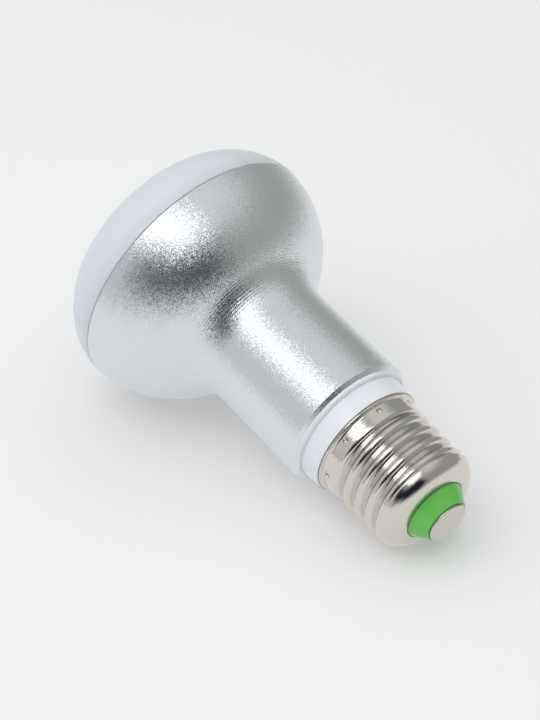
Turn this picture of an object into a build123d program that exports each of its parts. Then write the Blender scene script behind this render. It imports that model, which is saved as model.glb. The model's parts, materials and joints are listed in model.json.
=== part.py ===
"""Reflector bulb with an aluminium housing, an opal cover and an E27 screw cap.

The bulb is drawn upright about the Z axis, with the outer face of its centre contact at zero,
and is then laid on its side, resting on the rounded back of its head and on the shoulder of its cap.
As laid, +Z is up, the floor is Z = 0 and the cap points to +X. Sizes are in millimetres.
"""

import os
from math import acos, asin, atan2, ceil, cos, degrees, hypot, radians, sin, tan

from build123d import *

# Centre contact and insulator
contact_d = 10.1
contact_thick = 0.6
contact_edge = 0.2
stem_d = 2.4
stem_length = 4.6
insulator_tip_d = 10.9
insulator_height = 4.0
insulator_flange = 1.6
hole_clearance = 0.1

# Screw shell, rolled from thin sheet
shell_wall = 0.4
shell_hole_d = 15.9
lip_width = 0.7
thread_pitch = 3.629
thread_major_d = 26.1
thread_depth = 1.05
groove_land = 0.12
ridge_root = 0.25
ridge_stop = 0.15
shoulder_margin = 0.06
shoulder_end = 12.0
shoulder_edge = 0.6
shoulder_trim = 0.02
cap_length = 27.4
skirt_step = 0.1
skirt_length = 4.7
skirt_round = 1.0
rim_step = 0.8
rim_round = 0.25
rim_edge = 0.1

# Crimp dents that lock the shell to the collar
crimp_count = 8
crimp_ball = 0.65
crimp_lip = 0.35
crimp_crease = 0.04
crimp_depth = 0.6
crimp_below_rim = 1.75
crimp_turn = 41.0

# Plastic collar between the cap and the housing
rim_gap = 0.25
sleeve_step = 0.25
sleeve_taper = 0.4
sleeve_length = 4.85
flange_lip = 0.15
flange_bead = 0.75
flange_land = 0.3
collar_wall = 1.6
collar_reach = 14.0
spigot_length = 8.0
fit = 0.1

# Aluminium housing
neck_d = 32.7
neck_draft = 0.5
neck_wall = 1.95
end_chamfer = 0.85
housing_length = 54.05
housing_wall = 1.5
head_d = 63.4
head_round = 24.5
head_slope = 4.0
waist_fillet = 10.0
rebate_lip = 1.2
rebate_depth = 3.0

# Opal cover
cover_edge_round = 15.5
cover_face_round = 92.0
cover_wall = 1.8
cover_skirt_wall = 1.4
seam_chamfer = 0.2

# Levels above the face of the centre contact
lip_level = contact_thick + insulator_height
skirt_level = cap_length - skirt_length
flare_level = cap_length - rim_edge - rim_step
crimp_level = cap_length - crimp_below_rim
sleeve_level = cap_length + rim_gap
flange_level = sleeve_level + sleeve_length
housing_level = flange_level + flange_bead + flange_land
seam_level = housing_level + housing_length

# Radii that follow from their neighbours
insulator_base_r = shell_hole_d / 2 - hole_clearance
lip_r = shell_hole_d / 2 + lip_width
thread_minor_r = thread_major_d / 2 - thread_depth
skirt_r = thread_major_d / 2 + skirt_step
rim_r = skirt_r + rim_step
sleeve_end_r = rim_r + sleeve_step
sleeve_top_r = sleeve_end_r + sleeve_taper
flange_r = sleeve_top_r + flange_lip + flange_bead
neck_bore_r = neck_d / 2 - neck_wall
rebate_r = head_d / 2 - rebate_lip

# Rounded shoulder of the shell, its rounded upper edge, and the rounded back of the head
shoulder_round = thread_major_d / 2 + shoulder_margin - lip_r
shoulder_level = lip_level + shoulder_round
edge_offset = shoulder_round - shoulder_edge
shoulder_edge_r = lip_r + edge_offset * cos(radians(shoulder_end))
shoulder_edge_level = shoulder_level - edge_offset * sin(radians(shoulder_end))
head_centre_r = head_d / 2 - head_round * cos(radians(head_slope))
head_centre_level = seam_level + head_round * sin(radians(head_slope))

# Cover profile: a rounded edge tangent to a shallow face that is centred on the axis
edge_centre_r = head_d / 2 - cover_edge_round
face_turn = asin(edge_centre_r / (cover_face_round - cover_edge_round))
face_centre_level = seam_level - (cover_face_round - cover_edge_round) * cos(face_turn)

# Resting place: the floor touches the head's rounded back and the cap's shoulder
head_run = head_centre_level - shoulder_level
head_rise = head_centre_r - lip_r
lean = atan2(head_rise, head_run) + asin((head_round - shoulder_round) / hypot(head_run, head_rise))
contact_height = head_round + head_centre_r * cos(lean) - head_centre_level * sin(lean)

# Horizontal reach of the cover and of the contact, so that the origin lies under the middle
if lean < face_turn:
    cover_reach = cover_face_round + face_centre_level * cos(lean)
else:
    cover_reach = cover_edge_round + seam_level * cos(lean) + edge_centre_r * sin(lean)
contact_reach = contact_edge * (1 - cos(lean)) + (contact_d / 2 - contact_edge) * sin(lean)
contact_x = (cover_reach - contact_reach) / 2
laid = Plane(
    origin=(contact_x, 0, contact_height),
    x_dir=(-sin(lean), 0, -cos(lean)),
    z_dir=(-cos(lean), 0, sin(lean)),
).location

# Knuckle thread: equal tangent arcs on crest and root, with a crest on the shoulder's underside
knuckle_r = (thread_pitch**2 / 4 + thread_depth**2) / (4 * thread_depth)
knuckle_turn = asin(thread_pitch / 4 / knuckle_r)
land_turn = acos(1 - groove_land / knuckle_r)
flank_r = thread_major_d / 2 - thread_depth / 2
ridge_level = shoulder_level - shoulder_round * sin(lean) - thread_pitch
ridge_end_level = skirt_level + skirt_round + thread_pitch / 2
ridge_turns = ceil((ridge_end_level - ridge_level) / thread_pitch) - ridge_stop

# Crimp dents: a ball pressed into the skirt, with a lip that is rounded nearly to the skirt's face
crimp_rise = crimp_ball - crimp_depth
crimp_lip_r = skirt_r + crimp_crease - crimp_lip
crimp_lean = acos((skirt_r + crimp_rise - crimp_lip_r) / (crimp_lip + crimp_ball))
crimp_reach = (crimp_lip + crimp_ball) * sin(crimp_lean)

os.makedirs("parts", exist_ok=True)


# Centre contact: a flat disc with a stem that is pressed into the insulator
with BuildPart() as contact_disc:
    with BuildSketch(Plane.XY):
        Circle(contact_d / 2)
    extrude(amount=contact_thick)
    fillet(contact_disc.edges().sort_by(Axis.Z)[0], radius=contact_edge)
    with BuildSketch(Plane.XY.offset(contact_thick)):
        Circle(stem_d / 2)
    extrude(amount=stem_length)

contact_disc.part.move(laid)
contact_disc.part.label = "contact_disc"
export_step(contact_disc.part, "parts/contact_disc.step")


# Cap insulator: a cone outside the shell, a neck through its hole and a flange behind its lip
with BuildPart() as cap_insulator:
    with BuildSketch(Plane.XZ):
        with BuildLine():
            Polyline(
                (stem_d / 2, contact_thick),
                (insulator_tip_d / 2, contact_thick),
                (insulator_base_r, lip_level),
                (insulator_base_r, lip_level + shell_wall),
                (lip_r - fit, lip_level + shell_wall),
                (lip_r - fit, lip_level + shell_wall + insulator_flange),
                (stem_d / 2, lip_level + shell_wall + insulator_flange),
                close=True,
            )
        make_face()
    revolve(axis=Axis.Z)

cap_insulator.part.move(laid)
cap_insulator.part.label = "cap_insulator"
export_step(cap_insulator.part, "parts/cap_insulator.step")


def crimp_backs():
    """Ring of balls that bulge inwards behind the crimp dents, one sheet larger than the dents."""
    with BuildPart(Plane.XY.offset(crimp_level)) as balls:
        with PolarLocations(skirt_r + crimp_rise, crimp_count, start_angle=crimp_turn):
            Sphere(crimp_ball + shell_wall)
    return balls.part


def shell_form(inset):
    """Solid that fills the screw shell, drawn inset from the outer face of its sheet."""
    groove_r = thread_minor_r + groove_land - inset
    core_r = groove_r - ridge_root
    crest_r = thread_major_d / 2 - inset

    with BuildPart() as form:
        # Plain core at the bottom of the grooves, one pitch longer than the ridge at each end
        with BuildSketch(Plane.XY.offset(ridge_level - thread_pitch)):
            Circle(groove_r)
        extrude(amount=thread_pitch * (ridge_turns + 2))

        # Helical ridge: round outside, straight-sided where it is the hollow behind the sheet
        with BuildLine() as lead:
            Helix(thread_pitch, thread_pitch * ridge_turns, flank_r, center=(0, 0, ridge_level))
        with BuildSketch(Plane((0, 0, ridge_level), x_dir=(1, 0, 0), z_dir=(0, -1, 0))):
            with BuildLine():
                if inset:
                    hollow_half = thread_pitch / 4 - inset * sin(knuckle_turn)
                    hollow_r = flank_r - inset * cos(knuckle_turn)
                    Polyline(
                        (crest_r, 0),
                        (crest_r, hollow_half + (hollow_r - crest_r) / tan(knuckle_turn)),
                        (core_r, hollow_half + (hollow_r - core_r) / tan(knuckle_turn)),
                        (core_r, 0),
                    )
                else:
                    CenterArc((crest_r - knuckle_r, 0), knuckle_r, 0, degrees(knuckle_turn))
                    foot = CenterArc(
                        (thread_minor_r + knuckle_r, thread_pitch / 2),
                        knuckle_r,
                        180 + degrees(knuckle_turn),
                        degrees(land_turn - knuckle_turn),
                    )
                    Polyline(foot @ 1, (core_r, (foot @ 1).Y), (core_r, 0))
                mirror(about=Plane.XZ)
            make_face()
        sweep(path=lead.edge(), is_frenet=True)

        # Cut to length just under the face of the rounded shoulder
        with BuildSketch(Plane.XZ):
            with BuildLine():
                cut_round = shoulder_round - shoulder_trim - inset
                Line((0, shoulder_level - cut_round), (lip_r, shoulder_level - cut_round))
                cut = CenterArc((lip_r, shoulder_level), cut_round, -90, 90)
                Polyline(
                    cut @ 1,
                    (thread_major_d, shoulder_level),
                    (thread_major_d, cap_length),
                    (0, cap_length),
                    (0, shoulder_level - cut_round),
                )
            make_face()
        revolve(axis=Axis.Z, mode=Mode.INTERSECT)

        # Plain shoulder, from the lip to a rounded edge where the last groove runs out
        with BuildSketch(Plane.XZ):
            with BuildLine():
                Line((0, lip_level + inset), (lip_r, lip_level + inset))
                CenterArc((lip_r, shoulder_level), shoulder_round - inset, -90, 90 - shoulder_end)
                edge = CenterArc(
                    (shoulder_edge_r, shoulder_edge_level),
                    shoulder_edge - inset,
                    -shoulder_end,
                    90 + shoulder_end,
                )
                Polyline(edge @ 1, (0, (edge @ 1).Y), (0, lip_level + inset))
            make_face()
        revolve(axis=Axis.Z)

        # Plain skirt with a rounded start and a rim that is flared out and rolled over
        with BuildSketch(Plane.XZ):
            with BuildLine():
                start_r = skirt_r - skirt_round
                Line((0, skirt_level + inset), (start_r, skirt_level + inset))
                start = CenterArc((start_r, skirt_level + skirt_round), skirt_round - inset, -90, 90)
                side = Line(start @ 1, (skirt_r - inset, flare_level))
                if inset:
                    rim = TangentArc(side @ 1, (rim_r - rim_round - inset, cap_length), tangent=side % 1)
                else:
                    CenterArc((rim_r - rim_round, flare_level), rim_step - rim_round, 180, -90)
                    roll = CenterArc((rim_r - rim_round, cap_length - rim_edge), rim_round, -90, 90)
                    rim = Line(roll @ 1, (rim_r, cap_length))
                Polyline(rim @ 1, (0, cap_length), (0, skirt_level + inset))
            make_face()
        revolve(axis=Axis.Z)
    return form.part


# One crimp dent, turned about a line that runs straight out from the axis
with BuildPart() as crimp_dent:
    with BuildSketch(Plane((0, 0, crimp_level), x_dir=(1, 0, 0), z_dir=(0, -1, 0))):
        with BuildLine():
            ball = CenterArc((skirt_r + crimp_rise, 0), crimp_ball, 180, -degrees(crimp_lean))
            lip = CenterArc(
                (crimp_lip_r, crimp_reach), crimp_lip, -degrees(crimp_lean), degrees(crimp_lean)
            )
            Polyline(lip @ 1, (skirt_r + crimp_lip, crimp_reach), (skirt_r + crimp_lip, 0), ball @ 0)
        make_face()
    revolve(axis=Axis((0, 0, crimp_level), (1, 0, 0)))

# Screw shell: rolled sheet with a knuckle thread, a hole in its lip and dents round its skirt
with BuildPart() as shell_hollow:
    add(shell_form(shell_wall))
    add(crimp_backs(), mode=Mode.SUBTRACT)

with BuildPart() as screw_shell:
    add(shell_form(0))
    add(shell_hollow.part, mode=Mode.SUBTRACT)
    with BuildSketch(Plane.XY.offset(lip_level)):
        Circle(shell_hole_d / 2)
    extrude(amount=shell_wall, mode=Mode.SUBTRACT)
    with PolarLocations(0, crimp_count, start_angle=crimp_turn):
        add(crimp_dent.part, mode=Mode.SUBTRACT)

screw_shell.part.move(laid)
screw_shell.part.label = "screw_shell"
export_step(screw_shell.part, "parts/screw_shell.step")


# Base collar: a tube with a beaded flange between the shell and the housing
thread_seat_r = thread_minor_r + groove_land - shell_wall - fit
skirt_seat_r = skirt_r - shell_wall - fit
skirt_seat_level = skirt_level + skirt_round + fit
collar_bore_r = thread_seat_r - collar_wall
spigot_r = neck_bore_r - fit

with BuildPart() as base_collar:
    with BuildSketch(Plane.XZ):
        with BuildLine():
            Polyline(
                (collar_bore_r, cap_length - collar_reach),
                (thread_seat_r, cap_length - collar_reach),
                (thread_seat_r, skirt_seat_level),
                (skirt_seat_r, skirt_seat_level),
                (skirt_seat_r, sleeve_level),
                (sleeve_end_r, sleeve_level),
                (sleeve_top_r, flange_level),
                (flange_r, flange_level),
                (flange_r, housing_level),
                (spigot_r, housing_level),
                (spigot_r, housing_level + spigot_length),
                (collar_bore_r, housing_level + spigot_length),
                close=True,
            )
        make_face()
    revolve(axis=Axis.Z)
    flange_edges = base_collar.edges().filter_by(GeomType.CIRCLE).group_by(SortBy.RADIUS)[-1]
    fillet(flange_edges.sort_by(Axis.Z)[0], radius=flange_bead)
    add(crimp_backs(), mode=Mode.SUBTRACT)

base_collar.part.move(laid)
base_collar.part.label = "base_collar"
export_step(base_collar.part, "parts/base_collar.step")


def housing_form(inset, neck_bottom_r, neck_top_r):
    """Solid of the neck, the waist and the rounded head, drawn inset from the outer face."""
    with BuildPart() as form:
        with BuildSketch(Plane.XZ):
            with Locations((head_centre_r, head_centre_level)):
                Circle(head_round - inset)
            with Locations((0, seam_level)):
                Rectangle(
                    head_d,
                    housing_length,
                    align=(Align.MIN, Align.MAX),
                    mode=Mode.INTERSECT,
                )
            with BuildLine():
                Polyline(
                    (0, housing_level),
                    (neck_bottom_r, housing_level),
                    (neck_top_r, seam_level),
                    (0, seam_level),
                    close=True,
                )
            make_face()
        revolve(axis=Axis.Z)
        rings = form.edges().filter_by(GeomType.CIRCLE).sort_by(Axis.Z)
        fillet(rings[1], radius=waist_fillet + inset)
    return form.part


# Reflector housing: a thin-walled neck and head with a chamfered end and a rebate for the cover
neck_top_r = neck_d / 2 - housing_length * tan(radians(neck_draft))

with BuildPart() as reflector_housing:
    add(housing_form(0, neck_d / 2, neck_top_r))
    housing_rings = reflector_housing.edges().filter_by(GeomType.CIRCLE).sort_by(Axis.Z)
    chamfer(housing_rings[0], length=end_chamfer)
    chamfer(reflector_housing.edges().filter_by(GeomType.CIRCLE).sort_by(Axis.Z)[-1], length=seam_chamfer)
    add(housing_form(housing_wall, neck_bore_r, neck_bore_r), mode=Mode.SUBTRACT)
    with BuildSketch(Plane.XY.offset(seam_level)):
        Circle(rebate_r)
    extrude(amount=-rebate_depth, mode=Mode.SUBTRACT)

reflector_housing.part.move(laid)
reflector_housing.part.label = "reflector_housing"
export_step(reflector_housing.part, "parts/reflector_housing.step")


def cover_form(inset):
    """Solid dome of the cover, drawn inset from its outer face."""
    with BuildPart() as form:
        with BuildSketch(Plane.XZ):
            with BuildLine():
                Line((0, seam_level), (head_d / 2 - inset, seam_level))
                edge = CenterArc(
                    (edge_centre_r, seam_level), cover_edge_round - inset, 0, 90 - degrees(face_turn)
                )
                face = CenterArc(
                    (0, face_centre_level),
                    cover_face_round - inset,
                    90 - degrees(face_turn),
                    degrees(face_turn),
                )
                Line(face @ 1, (0, seam_level))
            make_face()
        revolve(axis=Axis.Z)
    return form.part


# Diffuser cover: an opal dome with a skirt that seats in the housing's rebate
cover_skirt_r = rebate_r - fit

with BuildPart() as diffuser_cover:
    add(cover_form(0))
    chamfer(diffuser_cover.edges().filter_by(GeomType.CIRCLE).sort_by(Axis.Z)[0], length=seam_chamfer)
    add(cover_form(cover_wall), mode=Mode.SUBTRACT)
    with BuildSketch(Plane.XY.offset(seam_level + cover_skirt_wall)):
        Circle(cover_skirt_r)
        Circle(cover_skirt_r - cover_skirt_wall, mode=Mode.SUBTRACT)
    extrude(amount=-(cover_skirt_wall + rebate_depth - fit))

diffuser_cover.part.move(laid)
diffuser_cover.part.label = "diffuser_cover"
export_step(diffuser_cover.part, "parts/diffuser_cover.step")
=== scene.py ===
"""Dresses the reflector bulb: finishes for its pieces, the bead in its seam, and a plain studio."""

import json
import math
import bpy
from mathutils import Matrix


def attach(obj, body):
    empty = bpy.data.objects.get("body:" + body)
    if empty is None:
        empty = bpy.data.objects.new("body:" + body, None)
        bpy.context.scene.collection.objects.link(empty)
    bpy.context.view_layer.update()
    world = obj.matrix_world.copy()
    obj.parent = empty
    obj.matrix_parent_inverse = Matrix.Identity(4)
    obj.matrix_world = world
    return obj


bl_info = {
    "name": "Reflector bulb",
    "version": (1, 0, 0),
    "blender": (4, 5, 0),
    "location": "3D View > Sidebar > Bulb",
    "description": "Finishes the pieces of a reflector bulb and sets up a plain studio round it",
    "category": "Object",
}

import bpy
from mathutils import Matrix, Vector

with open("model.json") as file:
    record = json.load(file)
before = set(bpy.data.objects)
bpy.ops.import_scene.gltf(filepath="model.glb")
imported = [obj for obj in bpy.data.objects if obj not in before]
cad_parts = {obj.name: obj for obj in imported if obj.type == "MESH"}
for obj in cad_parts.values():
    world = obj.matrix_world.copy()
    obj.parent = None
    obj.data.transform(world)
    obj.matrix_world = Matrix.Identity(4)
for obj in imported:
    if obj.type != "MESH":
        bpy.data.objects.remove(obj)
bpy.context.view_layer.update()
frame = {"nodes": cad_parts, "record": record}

# The bulb's axis, from the mount on its centre contact: the tip, and the way from it to the cover
CONTACT = next(m for m in frame["record"]["mounts"] if m["name"] == "centre_contact")
TIP = Vector(CONTACT["pos_m"])
AXIS = -Vector(CONTACT["axis"]).normalized()
SIDE = Vector((0.0, 1.0, 0.0))
RISE = SIDE.cross(AXIS).normalized()


def level_span(node_name):
    """Lowest and highest place of a CAD node along the bulb's axis, in metres from the tip."""
    levels = [(v.co - TIP).dot(AXIS) for v in frame["nodes"][node_name].data.vertices]
    return min(levels), max(levels)


def outer_radius(node_name, low=-math.inf, high=math.inf):
    """Largest distance of a CAD node from the bulb's axis between two levels, in metres."""
    far = 0.0
    for vertex in frame["nodes"][node_name].data.vertices:
        offset = vertex.co - TIP
        level = offset.dot(AXIS)
        if low <= level <= high:
            far = max(far, (offset - AXIS * level).length)
    return far


# Places on the bulb, in metres: a level is a distance from the tip along the axis
NECK_LEVEL, SEAM_LEVEL = level_span("reflector_housing")
HEAD_RADIUS = outer_radius("reflector_housing")
NECK_RADIUS = outer_radius("reflector_housing", low=NECK_LEVEL, high=NECK_LEVEL + 0.01)
THREAD_RADIUS = outer_radius("screw_shell", low=0.010, high=0.018)

# Spans of level or radius over which an effect comes in or goes out, in metres
WAIST_LEVELS = (0.055, 0.060)
WAIST_INNER_RADII = (NECK_RADIUS - 0.0002, NECK_RADIUS + 0.0006)
WAIST_OUTER_RADII = (NECK_RADIUS + 0.0034, NECK_RADIUS + 0.0058)
COVER_SEAM_SHADE_LEVELS = (SEAM_LEVEL + 0.0004, SEAM_LEVEL + 0.004)
GROOVE_LEVELS = (0.0075, 0.0105)
GROOVE_RADII = (THREAD_RADIUS - 0.0011, THREAD_RADIUS - 0.0004)
INSULATOR_FOOT_SHADE_LEVELS = (0.0042, 0.0046)
CONTACT_EDGE_SHADOW_LEVELS = (0.00030, 0.00045)

# The bead of sealant: sides of its ring, and how near two of its points count as one, in metres
BEAD_SIDES = 240
MERGE_DISTANCE = 1e-6

# The floor: its width, and the distances over which metal mirrors it fading into a painted reflection
# of a darker room, in metres
FLOOR_WIDTH = 6.0
FADE_DISTANCES = (0.15, 0.45)
MOST_FADE = 0.68
PAINTED_FAR_REFLECTION = (0.32, 0.30, 0.285, 1.0)

# The room's tones
LEFT_WALL = (0.66, 0.67, 0.69, 1.0)
RIGHT_WALL = (0.365, 0.39, 0.37, 1.0)
FRONT_CEILING = (0.55, 0.565, 0.58, 1.0)
BACK_CEILING = (0.72, 0.74, 0.74, 1.0)
DARK = (0.016, 0.02, 0.034, 1.0)

# The room's places, in degrees: heights, and bearings from the cap's end, minus on the camera's side
LEFT_BEARING = -125.0
LEFT_WIDTHS = (15.0, 75.0)
CEILING_BEARINGS = (-20.0, 40.0)
CEILING_HEIGHTS = (30.0, 62.0)
STRIP_START_BEARINGS = (-102.0, -76.0)
STRIP_END_BEARINGS = (-8.0, 16.0)
STRIP_WIDTHS = (6.0, 23.0)
STRIP_HEIGHT = 8.0
STRIP_SLOPE = -0.2

# The dark patch by the cap: the way to it, and cosines of the angle from that way
PATCH_WAY = Vector((0.89, -0.36, 0.28)).normalized()
PATCH_COSINES = (0.885, 0.935)

# Lamps, in metres and degrees
SOFTBOX_SIZE = (1.45, 0.62)
SOFTBOX_DISTANCE = 1.15
SOFTBOX_BEARING = -78.0
SOFTBOX_HEIGHT = 63.0
SOFTBOX_COLOR = (0.96, 0.98, 1.0)
FILL_SIZE = 4.0
FILL_PLACE = Vector((-0.15, -0.45, 1.60))

# The camera, in metres and degrees, with its sensor in millimetres
CAMERA_PLACE = (0.4538, -0.3985, 0.4923)
CAMERA_TILT = 52.3
CAMERA_TURN = 49.2
SENSOR_WIDTH = 36.0


# Sizes and colours that a user can change

COLOR = {"subtype": "COLOR", "size": 3, "min": 0.0, "max": 1.0}
SHARE = {"subtype": "FACTOR", "min": 0.0, "max": 1.0}


class BulbFinishes(bpy.types.PropertyGroup):
    """Colours and textures of the bulb's pieces."""

    aluminium: bpy.props.FloatVectorProperty(
        name="Aluminium",
        description="Colour of the blasted aluminium housing",
        default=(0.79, 0.81, 0.835),
        **COLOR,
    )
    grain_size: bpy.props.FloatProperty(
        name="Grain size",
        description="Width of one grain of the blasted finish",
        unit="LENGTH",
        min=0.00005,
        max=0.002,
        default=0.00021,
    )
    grain_tilt: bpy.props.FloatProperty(
        name="Grain tilt",
        description="How far the grains of the blasted finish lean out of the surface",
        default=0.25,
        **SHARE,
    )
    opal: bpy.props.FloatVectorProperty(
        name="Opal cover",
        description="Colour of the opal cover",
        default=(0.72, 0.735, 0.79),
        **COLOR,
    )
    collar: bpy.props.FloatVectorProperty(
        name="Collar",
        description="Colour of the plastic collar",
        default=(0.85, 0.865, 0.91),
        **COLOR,
    )
    nickel: bpy.props.FloatVectorProperty(
        name="Nickel",
        description="Colour of the nickel plate on the cap",
        default=(0.70, 0.66, 0.595),
        **COLOR,
    )
    insulator: bpy.props.FloatVectorProperty(
        name="Insulator",
        description="Colour of the cap's insulator",
        default=(0.155, 0.60, 0.10),
        **COLOR,
    )
    sealant: bpy.props.FloatVectorProperty(
        name="Sealant",
        description="Colour of the bead in the seam between housing and cover",
        default=(0.20, 0.20, 0.21),
        **COLOR,
    )


class BulbSeam(bpy.types.PropertyGroup):
    """Sizes of the bead of sealant in the seam."""

    width: bpy.props.FloatProperty(
        name="Bead width",
        description="Width of the bead along the bulb's axis",
        unit="LENGTH",
        min=0.00005,
        max=0.001,
        default=0.00026,
    )
    depth: bpy.props.FloatProperty(
        name="Bead depth",
        description="How far the bead lies below the edge of the head",
        unit="LENGTH",
        min=0.0,
        max=0.001,
        default=0.00014,
    )


class BulbStudio(bpy.types.PropertyGroup):
    """Floor, light and camera."""

    floor: bpy.props.FloatVectorProperty(
        name="Floor",
        description="Colour of the floor",
        default=(0.90, 0.893, 0.89),
        **COLOR,
    )
    backdrop: bpy.props.FloatVectorProperty(
        name="Backdrop",
        description="Colour behind the bulb",
        default=(0.863, 0.863, 0.863),
        **COLOR,
    )
    floor_glow: bpy.props.FloatProperty(
        name="Floor glow",
        description="How much of the floor's brightness is its own where the camera sees it",
        default=0.28,
        **SHARE,
    )
    mirrored_glow: bpy.props.FloatProperty(
        name="Mirrored glow",
        description="How much of the floor's brightness is its own where metal mirrors it",
        default=0.65,
        **SHARE,
    )
    softbox_power: bpy.props.FloatProperty(
        name="Softbox",
        description="Power of the softbox above the bulb, in watts",
        subtype="POWER",
        min=0.0,
        default=3.5,
    )
    fill_power: bpy.props.FloatProperty(
        name="Fill",
        description="Power of the wide fill lamp, which no surface mirrors, in watts",
        subtype="POWER",
        min=0.0,
        default=22.0,
    )
    room: bpy.props.FloatProperty(
        name="Room",
        description="Brightness of the light from all round",
        min=0.0,
        max=2.0,
        default=1.0,
    )
    lens: bpy.props.FloatProperty(
        name="Lens",
        description="Focal length of the camera, in millimetres",
        min=10.0,
        max=400.0,
        default=170.0,
    )


# Node helpers

VECTOR = "NodeSocketVector"
VALUE = "NodeSocketFloat"
RISING = (0.0, 1.0)
FALLING = (1.0, 0.0)


def feed(tree, node, key, value):
    """Sets one input of a node, by name or number, or links it where the value is a socket."""
    if isinstance(value, bpy.types.NodeSocket):
        tree.links.new(value, node.inputs[key])
    else:
        node.inputs[key].default_value = value


def set_inputs(tree, node, **values):
    """Sets or links inputs of a node by name, with _ where the name has a space."""
    for name, value in values.items():
        feed(tree, node, name.replace("_", " "), value)


def add_node(tree, kind, settings=None, **values):
    """Adds a node, sets its own settings, and sets or links its inputs by name."""
    made = tree.nodes.new(kind)
    for name, value in (settings or {}).items():
        setattr(made, name, value)
    set_inputs(tree, made, **values)
    return made


def math_node(tree, operation, *values):
    """Adds a Math node and gives its output."""
    made = add_node(tree, "ShaderNodeMath", {"operation": operation})
    for index, value in enumerate(values):
        feed(tree, made, index, value)
    return made.outputs["Value"]


def product(tree, first, *others):
    """Multiplies values and gives the result."""
    for other in others:
        first = math_node(tree, "MULTIPLY", first, other)
    return first


def vector_node(tree, operation, *vectors):
    """Adds a Vector Math node and gives its output, a value for a length or a dot product."""
    made = add_node(tree, "ShaderNodeVectorMath", {"operation": operation})
    for index, vector in enumerate(vectors):
        feed(tree, made, index, vector)
    return made.outputs["Value" if operation in ("LENGTH", "DOT_PRODUCT") else "Vector"]


def scaled(tree, vector, factor):
    """Scales a vector and gives the result."""
    made = add_node(tree, "ShaderNodeVectorMath", {"operation": "SCALE"}, Vector=vector, Scale=factor)
    return made.outputs["Vector"]


def leaned(tree, normal, lean):
    """Tips a normal by a small vector and gives it at its full length again."""
    tipped = vector_node(tree, "ADD", normal, lean)
    return vector_node(tree, "NORMALIZE", tipped)


def ramp_node(tree, value, span, ends=RISING):
    """Adds a Map Range node that goes smoothly from end to end over a span, and gives its output."""
    made = add_node(
        tree,
        "ShaderNodeMapRange",
        {"interpolation_type": "SMOOTHSTEP"},
        Value=value,
        From_Min=span[0],
        From_Max=span[1],
        To_Min=ends[0],
        To_Max=ends[1],
    )
    return made.outputs["Result"]


def mix_color(tree, amount, first, second):
    """Adds a colour Mix node, whose sockets go by number as they share names, and gives its output."""
    made = add_node(tree, "ShaderNodeMix", {"data_type": "RGBA"})
    for index, value in ((0, amount), (6, first), (7, second)):
        feed(tree, made, index, value)
    return made.outputs[2]


def mix_shader(tree, share, first, second):
    """Adds a Mix Shader node and gives its output."""
    made = add_node(tree, "ShaderNodeMixShader")
    for index, value in enumerate((share, first, second)):
        feed(tree, made, index, value)
    return made.outputs["Shader"]


def noise_node(tree, vector, scale, detail, roughness):
    """Adds a Noise Texture node and gives its value."""
    kind = "ShaderNodeTexNoise"
    made = add_node(tree, kind, Vector=vector, Scale=scale, Detail=detail, Roughness=roughness)
    return made.outputs["Fac"]


def bump_node(tree, height, distance, normal=None):
    """Adds a Bump node, on top of a normal where one is given, and gives its output."""
    made = add_node(tree, "ShaderNodeBump", Height=height, Distance=distance, Strength=1.0)
    if normal is not None:
        feed(tree, made, "Normal", normal)
    return made.outputs["Normal"]


def rgba(color, factor=1.0):
    """Four numbers for a colour socket."""
    return (*[min(1.0, c * factor) for c in color], 1.0)


# Shared effects


def new_group(name, inputs, outputs):
    """Makes an empty shader node group with named sockets, and gives it, its source and its sink."""
    group = bpy.data.node_groups.new(name, "ShaderNodeTree")
    for socket_name, kind, value in inputs:
        socket = group.interface.new_socket(name=socket_name, in_out="INPUT", socket_type=kind)
        if value is not None:
            socket.default_value = value
    for socket_name, kind in outputs:
        group.interface.new_socket(name=socket_name, in_out="OUTPUT", socket_type=kind)
    source = group.nodes.new("NodeGroupInput")
    sink = group.nodes.new("NodeGroupOutput")
    return group, source.outputs, sink


def axis_group(name):
    """Place on the bulb: upright coordinates, distance from the axis, level, turn and the way round."""
    group, source, sink = new_group(
        name,
        [("Vector", VECTOR, None)],
        [("Upright", VECTOR), ("Radius", VALUE), ("Level", VALUE), ("Turn", VALUE), ("Around", VECTOR)],
    )
    offset = vector_node(group, "SUBTRACT", source["Vector"], TIP)
    ways = (RISE, SIDE, AXIS)
    rise, across, level = [vector_node(group, "DOT_PRODUCT", offset, way) for way in ways]
    upright = add_node(group, "ShaderNodeCombineXYZ", X=rise, Y=across, Z=level)
    square = math_node(group, "ADD", product(group, rise, rise), product(group, across, across))
    crossed = vector_node(group, "CROSS_PRODUCT", AXIS, offset)
    set_inputs(
        group,
        sink,
        Upright=upright.outputs["Vector"],
        Radius=math_node(group, "SQRT", square),
        Level=level,
        Turn=math_node(group, "ARCTAN2", across, rise),
        Around=vector_node(group, "NORMALIZE", crossed),
    )
    return group


def grain_group(name):
    """Fine grain: a height for bump, a mottle from 0 to 1, a slow cloud and the lean of each grain."""
    group, source, sink = new_group(
        name,
        [("Vector", VECTOR, None), ("Size", VALUE, 0.0003)],
        [("Height", VALUE), ("Mottle", VALUE), ("Cloud", VALUE), ("Lean", VECTOR)],
    )
    place = source["Vector"]
    per_metre = math_node(group, "DIVIDE", 1.0, source["Size"])
    cell_scale = product(group, per_metre, 1.3)
    cloud_scale = product(group, per_metre, 0.012)
    cells = add_node(group, "ShaderNodeTexVoronoi", Vector=place, Scale=cell_scale)
    random_cell = add_node(group, "ShaderNodeSeparateColor", Color=cells.outputs["Color"])
    lean = vector_node(group, "SUBTRACT", cells.outputs["Color"], (0.5, 0.5, 0.5))
    set_inputs(
        group,
        sink,
        Height=noise_node(group, place, scale=per_metre, detail=3.0, roughness=0.6),
        Mottle=random_cell.outputs["Red"],
        Cloud=noise_node(group, place, scale=cloud_scale, detail=3.0, roughness=0.55),
        Lean=lean,
    )
    return group


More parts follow.
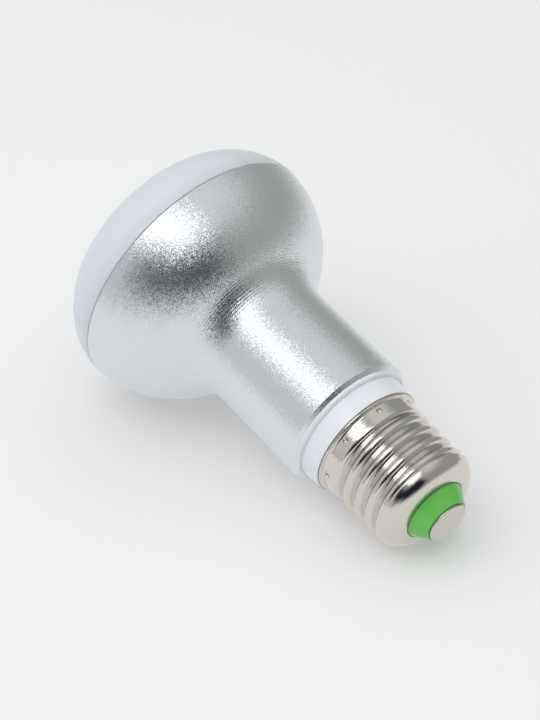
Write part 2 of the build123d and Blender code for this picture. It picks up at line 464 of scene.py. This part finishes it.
def speck_group(name):
    """A few small specks of dust: a mask that is 1 on a speck."""
    group, source, sink = new_group(
        name,
        [("Vector", VECTOR, None), ("Spacing", VALUE, 0.0015)],
        [("Mask", VALUE)],
    )
    per_metre = math_node(group, "DIVIDE", 1.0, source["Spacing"])
    cells = add_node(group, "ShaderNodeTexVoronoi", Vector=source["Vector"], Scale=per_metre)
    random_cell = add_node(group, "ShaderNodeSeparateColor", Color=cells.outputs["Color"])
    few = ramp_node(group, random_cell.outputs["Green"], span=(0.86, 0.92))
    near = ramp_node(group, cells.outputs["Distance"], span=(0.05, 0.10), ends=FALLING)
    set_inputs(group, sink, Mask=product(group, few, near))
    return group


def turned_group(name):
    """Fine turning lines: a height that runs along the profile and drifts a little round the axis."""
    group, source, sink = new_group(
        name,
        [("Radius", VALUE, 0.0), ("Level", VALUE, 0.0), ("Turn", VALUE, 0.0), ("Pitch", VALUE, 0.0004)],
        [("Height", VALUE)],
    )
    along = math_node(group, "ADD", source["Level"], source["Radius"])
    turns = math_node(group, "DIVIDE", along, source["Pitch"])
    place = add_node(group, "ShaderNodeCombineXYZ", X=turns, Y=product(group, source["Turn"], 1.4))
    drift = noise_node(group, place.outputs["Vector"], scale=0.6, detail=2.0, roughness=0.6)
    phase = math_node(group, "MULTIPLY_ADD", turns, 2 * math.pi, product(group, drift, 2.0))
    wave = math_node(group, "MULTIPLY_ADD", math_node(group, "SINE", phase), 0.3, drift)
    set_inputs(group, sink, Height=wave)
    return group


EFFECTS = {
    "Bulb axis": axis_group,
    "Fine grain": grain_group,
    "Specks": speck_group,
    "Turning lines": turned_group,
}


def use_effect(tree, name, **values):
    """Places a shared effect in a material and gives its outputs. The first use builds its group."""
    group = bpy.data.node_groups.get(name) or EFFECTS[name](name)
    return add_node(tree, "ShaderNodeGroup", {"node_tree": group}, **values).outputs


def grain_on(tree, place, size):
    """Lays grain over a material and gives its outputs."""
    return use_effect(tree, "Fine grain", Vector=place["Upright"], Size=size)


def lines_on(tree, place, pitch):
    """Lays turning lines over a material and gives their height."""
    lines = use_effect(
        tree,
        "Turning lines",
        Radius=place["Radius"],
        Level=place["Level"],
        Turn=place["Turn"],
        Pitch=pitch,
    )
    return lines["Height"]


def dusted(tree, place, color, speck, spacing):
    """Lays specks of dust over a colour and gives the result."""
    specks = use_effect(tree, "Specks", Vector=place["Upright"], Spacing=spacing)
    return mix_color(tree, specks["Mask"], color, speck)


def cloudy(tree, grain, low, high):
    """A value that drifts between two ends over the surface, with the grain's cloud."""
    return ramp_node(tree, grain["Cloud"], span=(0.3, 0.7), ends=(low, high))


# Finishes


def new_material(name):
    """Makes a material, and gives it, its tree, its Principled BSDF and the place on the bulb."""
    material = bpy.data.materials.new(name)
    material.use_nodes = True
    tree = material.node_tree
    coordinates = tree.nodes.new("ShaderNodeTexCoord")
    place = use_effect(tree, "Bulb axis", Vector=coordinates.outputs["Object"])
    return material, tree, tree.nodes["Principled BSDF"], place


def blasted_aluminium(finishes):
    """Blasted aluminium whose grains glint, with turning lines in the waist and a little dust."""
    material, tree, shader, place = new_material("Blasted aluminium")
    aluminium = finishes.aluminium
    grain = grain_on(tree, place, size=finishes.grain_size)
    tone = mix_color(tree, grain["Mottle"], rgba(aluminium, 0.98), rgba(aluminium, 1.02))
    in_waist = product(
        tree,
        ramp_node(tree, place["Radius"], WAIST_OUTER_RADII, FALLING),
        ramp_node(tree, place["Radius"], WAIST_INNER_RADII),
        ramp_node(tree, place["Level"], WAIST_LEVELS),
    )
    rings = product(tree, lines_on(tree, place, pitch=0.0009), in_waist)
    turned = bump_node(tree, rings, distance=0.00003)
    set_inputs(
        tree,
        shader,
        Base_Color=dusted(tree, place, tone, rgba(aluminium, 0.35), spacing=0.0016),
        Metallic=1.0,
        Roughness=cloudy(tree, grain, low=0.28, high=0.31),
        Normal=leaned(tree, turned, scaled(tree, grain["Lean"], finishes.grain_tilt)),
    )
    return material


def opal_plastic(finishes):
    """Opal plastic that lets a little light in, with painted shade along the seam that fades away from
    it.
    """
    material, tree, shader, place = new_material("Opal plastic")
    opal = finishes.opal
    grain = grain_on(tree, place, size=0.0006)
    # Painted shade: the cover is darker next to the seam, where the rebate's shadow falls behind the
    # opal
    away = ramp_node(tree, place["Level"], COVER_SEAM_SHADE_LEVELS)
    set_inputs(
        tree,
        shader,
        Base_Color=mix_color(tree, away, rgba(opal, 0.94), rgba(opal)),
        Roughness=cloudy(tree, grain, low=0.34, high=0.40),
        Subsurface_Weight=0.35,
        Subsurface_Radius=(0.9, 0.9, 1.0),
        Subsurface_Scale=0.0025,
        Normal=bump_node(tree, grain["Height"], distance=0.000006),
    )
    return material


def white_plastic(finishes):
    """Glossy moulded plastic of the collar."""
    material, tree, shader, place = new_material("White plastic")
    collar = finishes.collar
    grain = grain_on(tree, place, size=0.0008)
    set_inputs(
        tree,
        shader,
        Base_Color=mix_color(tree, grain["Cloud"], rgba(collar, 0.98), rgba(collar, 1.02)),
        Roughness=cloudy(tree, grain, low=0.16, high=0.24),
        Subsurface_Weight=0.15,
        Subsurface_Radius=(1.0, 0.9, 0.8),
        Subsurface_Scale=0.001,
        Normal=bump_node(tree, grain["Height"], distance=0.000004),
    )
    return material


def nickel_plate(finishes):
    """Polished nickel over drawn sheet, with fine lines round the axis and painted shade in the
    thread's grooves.
    """
    material, tree, shader, place = new_material("Nickel plate")
    nickel = finishes.nickel
    grain = grain_on(tree, place, size=0.0004)
    # Painted shade: the bottoms of the thread's grooves are darkened to about three quarters of the
    # plate's colour
    groove_shade = product(
        tree,
        ramp_node(tree, place["Radius"], GROOVE_RADII, FALLING),
        ramp_node(tree, place["Level"], GROOVE_LEVELS),
    )
    wavy = bump_node(tree, grain["Cloud"], distance=0.00006)
    lined = bump_node(tree, lines_on(tree, place, pitch=0.00025), distance=0.000006, normal=wavy)

    # The drawing lines turn the normal a little, one way or the other round the axis
    drawn = add_node(
        tree,
        "ShaderNodeTexNoise",
        {"noise_dimensions": "1D"},
        W=place["Level"],
        Scale=3300.0,
        Detail=2.0,
        Roughness=0.6,
    )
    swerve = product(tree, math_node(tree, "SUBTRACT", drawn.outputs["Fac"], 0.5), 0.22)
    set_inputs(
        tree,
        shader,
        Base_Color=mix_color(tree, groove_shade, rgba(nickel), rgba(nickel, 0.76)),
        Metallic=1.0,
        Roughness=cloudy(tree, grain, low=0.085, high=0.125),
        Normal=leaned(tree, lined, scaled(tree, place["Around"], swerve)),
    )
    return material


def satin_contact(finishes):
    """Pressed nickel disc with a fine grain, a little dust and a painted shadow line round its edge,
    where it meets the insulator.
    """
    material, tree, shader, place = new_material("Satin nickel contact")
    nickel = finishes.nickel
    grain = grain_on(tree, place, size=0.0003)
    # Painted shadow: a dark line round the disc's edge, where the insulator meets it
    edge = ramp_node(tree, place["Level"], CONTACT_EDGE_SHADOW_LEVELS)
    face = dusted(tree, place, rgba(nickel, 0.95), rgba(nickel, 0.3), spacing=0.0009)
    set_inputs(
        tree,
        shader,
        Base_Color=mix_color(tree, edge, face, rgba(nickel, 0.25)),
        Metallic=1.0,
        Roughness=cloudy(tree, grain, low=0.26, high=0.36),
        Normal=bump_node(tree, grain["Height"], distance=0.00001),
    )
    return material


def green_insulator(finishes):
    """Glossy green insulator with a little dust, and painted shade at its foot where it meets the
    shell's lip.
    """
    material, tree, shader, place = new_material("Green insulator")
    insulator = finishes.insulator
    grain = grain_on(tree, place, size=0.0006)
    # Painted shadow: the insulator darkens at its foot, in the gap by the shell's lip
    foot = ramp_node(tree, place["Level"], INSULATOR_FOOT_SHADE_LEVELS)
    body = mix_color(tree, grain["Cloud"], rgba(insulator, 0.92), rgba(insulator, 1.06))
    body = dusted(tree, place, body, rgba(insulator, 0.3), spacing=0.0011)
    set_inputs(
        tree,
        shader,
        Base_Color=mix_color(tree, foot, body, rgba(insulator, 0.35)),
        Roughness=cloudy(tree, grain, low=0.22, high=0.32),
        Normal=bump_node(tree, grain["Height"], distance=0.000008),
    )
    return material


def seam_sealant_and_shadow(finishes):
    """Dull dark sealant with small lumps, whose dark colour also paints the shadow in the seam's gap.
    """
    material, tree, shader, place = new_material("Seam sealant and shadow")
    sealant = finishes.sealant
    grain = grain_on(tree, place, size=0.0005)
    set_inputs(
        tree,
        shader,
        Base_Color=mix_color(tree, grain["Mottle"], rgba(sealant, 0.4), rgba(sealant, 1.6)),
        Roughness=cloudy(tree, grain, low=0.55, high=0.75),
        Normal=bump_node(tree, grain["Height"], distance=0.00004),
    )
    return material


def wear(node_name, material):
    """Gives a CAD node its finish."""
    for slot in frame["nodes"][node_name].material_slots:
        slot.material = material


# Operators for the pieces


class BULB_OT_finish_housing(bpy.types.Operator):
    """Gives the housing its blasted aluminium finish"""

    bl_idname = "bulb.finish_housing"
    bl_label = "Finish housing"

    def execute(self, context):
        wear("reflector_housing", blasted_aluminium(context.scene.bulb_finishes))
        return {"FINISHED"}


class BULB_OT_finish_cover(bpy.types.Operator):
    """Gives the cover its opal finish"""

    bl_idname = "bulb.finish_cover"
    bl_label = "Finish cover"

    def execute(self, context):
        wear("diffuser_cover", opal_plastic(context.scene.bulb_finishes))
        return {"FINISHED"}


class BULB_OT_finish_collar(bpy.types.Operator):
    """Gives the collar its glossy white finish"""

    bl_idname = "bulb.finish_collar"
    bl_label = "Finish collar"

    def execute(self, context):
        wear("base_collar", white_plastic(context.scene.bulb_finishes))
        return {"FINISHED"}


class BULB_OT_finish_cap(bpy.types.Operator):
    """Gives the screw shell, the insulator and the contact their finishes"""

    bl_idname = "bulb.finish_cap"
    bl_label = "Finish cap"

    def execute(self, context):
        finishes = context.scene.bulb_finishes
        wear("screw_shell", nickel_plate(finishes))
        wear("cap_insulator", green_insulator(finishes))
        wear("contact_disc", satin_contact(finishes))
        return {"FINISHED"}


class BULB_OT_lay_seam_bead(bpy.types.Operator):
    """Lays the thin bead of sealant in the seam between housing and cover; its dark colour also paints
    the seam's shadow
    """

    bl_idname = "bulb.lay_seam_bead"
    bl_label = "Lay seam bead"

    def execute(self, context):
        seam = context.scene.bulb_seam
        radius = HEAD_RADIUS - seam.depth
        middle = (0, 0, SEAM_LEVEL)
        bpy.ops.object.select_all(action="DESELECT")
        bpy.ops.mesh.primitive_circle_add(vertices=BEAD_SIDES, radius=radius, location=middle)
        bead = context.object
        bead.name = "seam_bead"
        bpy.ops.object.mode_set(mode="EDIT")
        bpy.ops.mesh.select_all(action="SELECT")

        # The ring is drawn round a diamond, back to where it starts, and its last side is merged there
        half = seam.width / 2
        corners = (
            (radius - half, half),
            (radius - 2 * half, 0.0),
            (radius - half, -half),
            (radius, 0.0),
        )
        reach, level = radius, 0.0
        for next_reach, next_level in corners:
            lift = next_level - level
            shrink = next_reach / reach
            bpy.ops.mesh.extrude_edges_move(TRANSFORM_OT_translate={"value": (0, 0, lift)})
            bpy.ops.transform.resize(value=(shrink, shrink, 1.0), center_override=middle)
            reach, level = next_reach, next_level
        bpy.ops.mesh.select_all(action="SELECT")
        bpy.ops.mesh.remove_doubles(threshold=MERGE_DISTANCE)
        bpy.ops.mesh.normals_make_consistent(inside=False)
        bpy.ops.object.mode_set(mode="OBJECT")
        lay_down(bead)
        bpy.ops.object.shade_smooth()
        bead.data.materials.append(seam_sealant_and_shadow(context.scene.bulb_finishes))
        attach(bead, "root")
        return {"FINISHED"}


def lay_down(piece):
    """Turns a piece that was made upright on the bulb's axis to the way the bulb lies, in its mesh."""
    turn = Matrix((RISE, SIDE, AXIS)).transposed().to_4x4()
    piece.matrix_world = Matrix.Translation(TIP) @ turn @ piece.matrix_world
    bpy.ops.object.select_all(action="DESELECT")
    piece.select_set(True)
    bpy.context.view_layer.objects.active = piece
    bpy.ops.object.transform_apply(location=True, rotation=True, scale=True)


# Stage


class BULB_OT_set_stage(bpy.types.Operator):
    """Makes the pale floor, the light of the room, the lamps and the camera"""

    bl_idname = "bulb.set_stage"
    bl_label = "Set stage"

    def execute(self, context):
        studio = context.scene.bulb_studio
        make_floor(studio)
        make_room(context.scene, studio)
        make_lamps(context.scene, studio)
        make_camera(context.scene, studio)
        return {"FINISHED"}


def make_floor(studio):
    """A plain pale floor with the bulb's shadow on it."""
    bpy.ops.object.select_all(action="DESELECT")
    bpy.ops.mesh.primitive_plane_add(size=FLOOR_WIDTH, location=(0, 0, 0))
    floor = bpy.context.object
    floor.name = "floor"
    floor.data.materials.append(pale_floor(studio))


def pale_floor(studio):
    """A matt floor that stays pale where it is seen, with a painted reflection that fades into a darker
    room where metal mirrors it.
    """
    material = bpy.data.materials.new("Pale floor")
    material.use_nodes = True
    tree = material.node_tree
    shader = tree.nodes["Principled BSDF"]
    set_inputs(tree, shader, Base_Color=rgba(studio.floor), Roughness=0.9, Specular_IOR_Level=0.1)
    path = tree.nodes.new("ShaderNodeLightPath").outputs
    seen = product(tree, path["Is Camera Ray"], studio.floor_glow)
    mirrored = math_node(tree, "MAXIMUM", path["Is Glossy Ray"], path["Is Transmission Ray"])
    mirrored = product(tree, mirrored, studio.mirrored_glow)
    share = math_node(tree, "MAXIMUM", seen, mirrored)
    glow = add_node(tree, "ShaderNodeEmission", Color=rgba(studio.backdrop, 1.04), Strength=1.0)
    pale = mix_shader(tree, share, shader.outputs["BSDF"], glow.outputs["Emission"])

    # Painted reflection: far off, what metal mirrors of the floor takes a darker tone of the room,
    # while the floor stays pale to the camera
    place = tree.nodes.new("ShaderNodeTexCoord").outputs["Object"]
    distance = vector_node(tree, "LENGTH", place)
    fade = ramp_node(tree, distance, FADE_DISTANCES, ends=(0.0, MOST_FADE))
    fade = product(tree, fade, path["Is Glossy Ray"])
    far = add_node(tree, "ShaderNodeEmission", Color=PAINTED_FAR_REFLECTION, Strength=1.0)
    faded = mix_shader(tree, fade, pale, far.outputs["Emission"])
    set_inputs(tree, tree.nodes["Material Output"], Surface=faded)
    return material


def make_room(scene, studio):
    """Light from all round, with a plain pale backdrop where the camera looks past the floor."""
    world = scene.world or bpy.data.worlds.new("Room")
    scene.world = world
    world.use_nodes = True
    tree = world.node_tree
    tree.nodes.clear()
    way = tree.nodes.new("ShaderNodeTexCoord").outputs["Generated"]
    parts = add_node(tree, "ShaderNodeSeparateXYZ", Vector=way).outputs
    in_degrees = 180 / math.pi
    height = product(tree, math_node(tree, "ARCSINE", parts["Z"]), in_degrees)
    bearing = product(tree, math_node(tree, "ARCTAN2", parts["Y"], parts["X"]), in_degrees)
    walls = room_walls(tree, bearing, height)
    room = mix_color(tree, room_dark(tree, way, bearing, height), walls, DARK)
    around = add_node(tree, "ShaderNodeBackground", Color=room, Strength=studio.room)
    backdrop = add_node(tree, "ShaderNodeBackground", Color=rgba(studio.backdrop), Strength=1.0)
    mixed = mix_shader(
        tree,
        tree.nodes.new("ShaderNodeLightPath").outputs["Is Camera Ray"],
        around.outputs["Background"],
        backdrop.outputs["Background"],
    )
    add_node(tree, "ShaderNodeOutputWorld", Surface=mixed)


def room_walls(tree, bearing, height):
    """Tone of the walls and the ceiling: pale above and to the left, greyer to the right."""
    from_left = math_node(tree, "ABSOLUTE", math_node(tree, "SUBTRACT", bearing, LEFT_BEARING))
    left = ramp_node(tree, from_left, LEFT_WIDTHS, FALLING)
    wall = mix_color(tree, left, RIGHT_WALL, LEFT_WALL)
    behind = ramp_node(tree, bearing, CEILING_BEARINGS)
    ceiling = mix_color(tree, behind, FRONT_CEILING, BACK_CEILING)
    return mix_color(tree, ramp_node(tree, height, CEILING_HEIGHTS), wall, ceiling)


def room_dark(tree, way, bearing, height):
    """How dark the room is: a strip in front that slopes down to the right, and a patch by the cap."""
    middle = math_node(tree, "MULTIPLY_ADD", bearing, STRIP_SLOPE, STRIP_HEIGHT)
    off = math_node(tree, "ABSOLUTE", math_node(tree, "SUBTRACT", height, middle))
    strip = product(
        tree,
        ramp_node(tree, off, STRIP_WIDTHS, FALLING),
        ramp_node(tree, bearing, STRIP_START_BEARINGS),
        ramp_node(tree, bearing, STRIP_END_BEARINGS, FALLING),
    )
    cosine = vector_node(tree, "DOT_PRODUCT", way, PATCH_WAY)
    patch = ramp_node(tree, cosine, PATCH_COSINES)
    return math_node(tree, "MAXIMUM", strip, patch)


def make_lamps(scene, studio):
    """A wide softbox above the bulb, on the camera's left, and a wider fill that no surface mirrors."""
    bearing, height = math.radians(SOFTBOX_BEARING), math.radians(SOFTBOX_HEIGHT)
    flat = math.cos(height)
    toward = Vector((flat * math.cos(bearing), flat * math.sin(bearing), math.sin(height)))
    softbox = hang_lamp(scene, "softbox", "RECTANGLE", toward * SOFTBOX_DISTANCE, studio.softbox_power)
    softbox.data.size, softbox.data.size_y = SOFTBOX_SIZE
    softbox.data.color = SOFTBOX_COLOR
    fill = hang_lamp(scene, "fill", "SQUARE", FILL_PLACE, studio.fill_power)
    fill.data.size = FILL_SIZE
    fill.visible_glossy = False


def hang_lamp(scene, name, shape, place, power):
    """Hangs an area lamp that shines at the bulb, and gives it."""
    light = bpy.data.lights.new(name, "AREA")
    light.shape = shape
    light.energy = power
    lamp = bpy.data.objects.new(name, light)
    scene.collection.objects.link(lamp)
    lamp.location = place
    lamp.rotation_mode = "QUATERNION"
    lamp.rotation_quaternion = (-place).to_track_quat("-Z", "Y")
    return lamp


def make_camera(scene, studio):
    """A camera at the photograph's angle."""
    lens = bpy.data.cameras.new("camera")
    lens.sensor_width = SENSOR_WIDTH
    lens.lens = studio.lens
    lens.clip_start = 0.01
    lens.clip_end = 20.0
    camera = bpy.data.objects.new("camera", lens)
    scene.collection.objects.link(camera)
    camera.location = CAMERA_PLACE
    camera.rotation_euler = (math.radians(CAMERA_TILT), 0.0, math.radians(CAMERA_TURN))
    scene.camera = camera
    scene.view_settings.view_transform = "Standard"


# Panel and registration


class BULB_PT_panel(bpy.types.Panel):
    """Lists the steps that dress the bulb"""

    bl_idname = "BULB_PT_panel"
    bl_label = "Reflector bulb"
    bl_space_type = "VIEW_3D"
    bl_region_type = "UI"
    bl_category = "Bulb"

    def draw(self, context):
        for group in (context.scene.bulb_finishes, context.scene.bulb_seam, context.scene.bulb_studio):
            box = self.layout.box()
            for name in group.__annotations__:
                box.prop(group, name)
        for step in STEPS:
            self.layout.operator(step.bl_idname)


STEPS = (
    BULB_OT_finish_housing,
    BULB_OT_finish_cover,
    BULB_OT_finish_collar,
    BULB_OT_finish_cap,
    BULB_OT_lay_seam_bead,
    BULB_OT_set_stage,
)
CLASSES = (BulbFinishes, BulbSeam, BulbStudio, *STEPS, BULB_PT_panel)


def register():
    """Registers the classes and gives each scene the bulb's sizes and colours."""
    for cls in CLASSES:
        bpy.utils.register_class(cls)
    bpy.types.Scene.bulb_finishes = bpy.props.PointerProperty(type=BulbFinishes)
    bpy.types.Scene.bulb_seam = bpy.props.PointerProperty(type=BulbSeam)
    bpy.types.Scene.bulb_studio = bpy.props.PointerProperty(type=BulbStudio)


def unregister():
    """Undoes what register does, in reverse."""
    del bpy.types.Scene.bulb_studio
    del bpy.types.Scene.bulb_seam
    del bpy.types.Scene.bulb_finishes
    for cls in reversed(CLASSES):
        bpy.utils.unregister_class(cls)


def main():
    """Dresses the bulb and sets the stage."""
    register()
    bpy.ops.bulb.finish_housing()
    bpy.ops.bulb.finish_cover()
    bpy.ops.bulb.finish_collar()
    bpy.ops.bulb.finish_cap()
    bpy.ops.bulb.lay_seam_bead()
    bpy.ops.bulb.set_stage()


if __name__ == "__main__":
    main()
